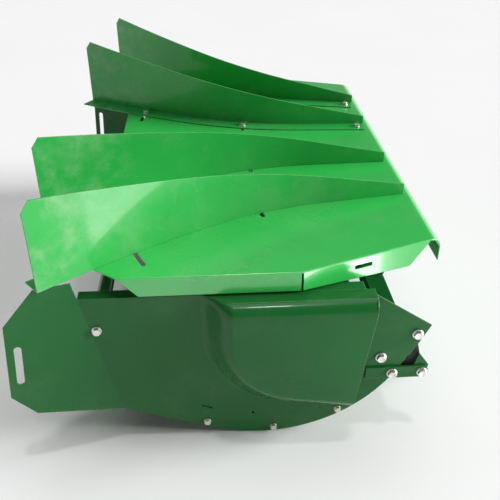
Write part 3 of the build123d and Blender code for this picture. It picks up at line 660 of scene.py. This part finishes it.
def hoodLid(build, side, rows):
    # the flat sheet that closes the top
    shape = hoodShape
    panelY = side * shape["panelY"]
    front = shape["mouthTop"] - shape["lidGap"]
    outline = [(row[0][0], row[0][1] - side * shape["lidInset"]) for row in rows]
    outline = [(x, y) for x, y in outline if side * y > shape["panelY"] + shape["lidStart"]]
    outline.insert(0, (outline[0][0] - shape["lidBack"], panelY))
    outline += [(front, outline[-1][1]), (front, panelY)]
    build.rings([[(x, y, z) for x, y in outline] for z in (shape["top"] - shape["sheet"], shape["top"])])


def makeHood(node, side):
    build = Build()
    full = hoodShape["height"] + hoodShape["sunk"]
    levels = hoodLevels()
    last = len(levels) - 1
    rows, base, mouth = hoodSheet(build, side, False, levels, full)
    hoodSheet(build, side, True, levels, full)
    stride = len(build.verts) // 2
    count = len(rows[0])
    rim = []  # pairs of points along the open edge, which join the outer sheet to the inner one
    for i in range(len(rows) - 1):
        rim += [(i * count, (i + 1) * count), ((i + 1) * count - 1, (i + 2) * count - 1)]
    rim.append((base + count - 1, mouth + last))
    rim += [(mouth + i, mouth + i - 1) for i in range(last, 0, -1)]
    rim.append((mouth, base))
    for low, high in rim:
        build.faces.append((low, high, high + stride, low + stride))
    hoodLid(build, side, rows)
    addLook(node, build, hoodShape["sharp"])
    makeHem(node, side, rows, levels, full)


def makeHem(node, side, rows, levels, full):
    # the rounded edge of the sheet round the mouth
    hem = hoodShape["hem"]
    line = [Vector(row[-1]) for row in rows if side * row[-1][1] > hoodShape["panelY"] + hem]
    line += [Vector((mouthX(z), hoodY(full, z, side, False), z))
             for z in reversed(levels) if z < hoodShape["hemTop"]]
    line = [point + Vector((-hem, -side * hem, 0)) for point in line]
    build = Build()
    build.tube(line, [hem] * len(line), hoodShape["hemSides"])
    addPiece(node + "Hem", build, bodyOf(node), slotOf[node], sharp=hoodShape["hemSharp"])


makeHood("air_hood_left", 1)
makeHood("air_hood_right", -1)
print("hoods ready")


# Weld beads. "face" is how far a bead lies from the middle of the sheet that it holds.
weldLook = {"radius": 0.0023, "ripple": 0.0018, "sides": 8, "pinched": 0.88, "endShare": 0.45,
            "endGain": 0.3, "uneven": (0.94, 1.05), "face": 0.0045, "sharp": 80}
random.seed(41)


def weldLine(build, start, end):
    look = weldLook
    start, end = Vector(start), Vector(end)
    count = max(int((end - start).length / look["ripple"]) * 2, 4)
    path = [start.lerp(end, i / count) for i in range(count + 1)]
    radii = []
    for i in range(count + 1):
        swell = 1.0 if i % 2 else look["pinched"]
        taper = min(1.0, look["endShare"] + look["endGain"] * min(i, count - i))
        radii.append(look["radius"] * swell * taper * random.uniform(*look["uneven"]))
    build.tube(path, radii, look["sides"])


def addWelds(name, build, body, slot):
    addPiece(name, build, body, slot, sharp=weldLook["sharp"])


lugWeld = {"y": (-0.390, -0.040, 0.040, 0.390), "front": -0.034, "rear": -0.090, "z": 0.2145}
bracketWeld = {"y": (-0.381, -0.031, 0.031, 0.381), "front": -0.082, "rear": -0.119, "z": 0.0235}


def weldRoots(look):
    # a bead along each face of a row of upright plates
    beads = Build()
    for y in look["y"]:
        for face in (-weldLook["face"], weldLook["face"]):
            weldLine(beads, (look["front"], y + face, look["z"]), (look["rear"], y + face, look["z"]))
    return beads


stiffenerWeld = {"rows": ((-0.585, 0.62), (-0.303, 0.46)), "edge": 0.0485, "steps": 3, "spacing": 3.6,
                 "half": 0.02, "z": 0.2135}


def weldStiffeners():
    # short stitches along both edges of each stiffener
    look = stiffenerWeld
    beads = Build()
    for middle, reach in look["rows"]:
        for x in (middle - look["edge"], middle + look["edge"]):
            for step in range(-look["steps"], look["steps"] + 1):
                y = step * reach / look["spacing"]
                weldLine(beads, (x, y - look["half"], look["z"]), (x, y + look["half"], look["z"]))
    return beads


beamWeld = {"webY": 0.090, "webX": (-0.0765, -0.0105), "webHalf": 0.020, "endY": 0.6303, "endZ": 0.0235,
            "endX": (-0.120, -0.080), "rearX": -0.1235, "rearHalf": 0.021}


def weldBeam():
    # the mounting plate's webs, then the end plates round the beam
    look = beamWeld
    beads = Build()
    for y in (-look["webY"], look["webY"]):
        for face in (-weldLook["face"], weldLook["face"]):
            for x in look["webX"]:
                weldLine(beads, (x, y + face, -look["webHalf"]), (x, y + face, look["webHalf"]))
    for y in (-look["endY"], look["endY"]):
        for z in (-look["endZ"], look["endZ"]):
            weldLine(beads, (look["endX"][0], y, z), (look["endX"][1], y, z))
        weldLine(beads, (look["rearX"], y, -look["rearHalf"]), (look["rearX"], y, look["rearHalf"]))
    return beads


addWelds("lugWelds", weldRoots(lugWeld), "tailboard", "deck_paint")
addWelds("bracketWelds", weldRoots(bracketWeld), "housing", "housing_paint")
addWelds("stiffenerWelds", weldStiffeners(), "tailboard", "deck_paint")
addWelds("beamWelds", weldBeam(), "housing", "housing_paint")
print("welds ready")


floorLook = {"size": 80.0, "gap": 0.0005, "dark": (0.84, 0.84, 0.84, 1), "pale": (0.87, 0.87, 0.868, 1),
             "cloud": (1.5, 3.0, 0.5), "rough": 0.7, "cloudRough": 0.1}


def layFloor():
    look = floorLook
    half = look["size"] / 2
    level = cadBounds[0][2] - look["gap"]
    f = Finish(bpy.data.materials.new("paleFloor"))
    cloud = f.noise(*look["cloud"])
    colour = f.mix(cloud, look["dark"], look["pale"])
    mesh = bpy.data.meshes.new("studioFloor")
    corners = [(-half, -half, level), (half, -half, level), (half, half, level), (-half, half, level)]
    mesh.from_pydata(corners, [], [(0, 1, 2, 3)])
    mesh.materials.append(f.surface({}, {"Base Color": colour,
                                         "Roughness": cloud * look["cloudRough"] + look["rough"]}))
    floor = bpy.data.objects.new("studioFloor", mesh)
    bpy.context.scene.collection.objects.link(floor)


# Light. A sun is so far away that the floor is as bright at its edge as under the object.
skyLook = {"horizon": 0.88, "overhead": 0.05, "fadeFrom": 0.12, "fadeTo": 0.34}
suns = {
    "overheadSun": {"place": (0.4, 1.4, 3.0), "strength": 0.90, "spread": 50},
    "crispSun": {"place": (0.15, -0.30, 3.0), "strength": 0.45, "spread": 4.5},
    "rightSun": {"place": (3.2, -0.30, 1.35), "strength": 4.9, "spread": 28},
}
lowPanel = {"place": (0.10, -0.90, -0.10), "aim": (-0.55, -0.45, 0.33), "size": (0.28, 0.34),
            "power": 0.17, "spread": 50}


def lightSky():
    # pale round the horizon, where only side views look, and dim overhead
    world = bpy.data.worlds.new("studioWorld")
    bpy.context.scene.world = world
    f = Finish(world)
    upward = f.part(f.node("ShaderNodeTexCoord", output=0), 2)
    fade = f.node("ShaderNodeMapRange", {"interpolation_type": "SMOOTHSTEP"},
                  {"Value": upward, "From Min": skyLook["fadeFrom"], "From Max": skyLook["fadeTo"],
                   "To Min": skyLook["horizon"], "To Max": skyLook["overhead"]})
    f.node("ShaderNodeOutputWorld", {}, {0: f.node("ShaderNodeBackground", {}, {0: fade})})


def aimed(name, light, place, aim):
    lamp = bpy.data.objects.new(name, light)
    lamp.visible_camera = False
    lamp.location = place
    lamp.rotation_euler = (Vector(aim) - Vector(place)).to_track_quat("-Z", "Y").to_euler()
    bpy.context.scene.collection.objects.link(lamp)


def hangLights():
    for name, look in suns.items():
        light = bpy.data.lights.new(name, "SUN")
        light.energy = look["strength"]
        light.angle = math.radians(look["spread"])
        aimed(name, light, look["place"], (0, 0, 0))
    light = bpy.data.lights.new("lowPanel", "AREA")
    light.shape = "RECTANGLE"
    light.size, light.size_y = lowPanel["size"]
    light.energy = lowPanel["power"]
    light.spread = math.radians(lowPanel["spread"])
    aimed("lowPanel", light, lowPanel["place"], lowPanel["aim"])


viewCamera = {"place": (-0.504, -1.752, 0.963), "pitch": 31.85, "yaw": 3.738,
              "lens": 47.74, "sensor": 36.0}


def setCamera():
    data = bpy.data.cameras.new("viewCamera")
    data.sensor_width = viewCamera["sensor"]
    data.lens = viewCamera["lens"]
    camera = bpy.data.objects.new("viewCamera", data)
    camera.location = viewCamera["place"]
    tilt = math.radians(90 - viewCamera["pitch"])
    camera.rotation_euler = (tilt, 0, -math.radians(viewCamera["yaw"]))
    bpy.context.scene.collection.objects.link(camera)
    bpy.context.scene.camera = camera


layFloor()
lightSky()
hangLights()
setCamera()
bpy.context.scene.view_settings.view_transform = "Standard"
print("studio ready")
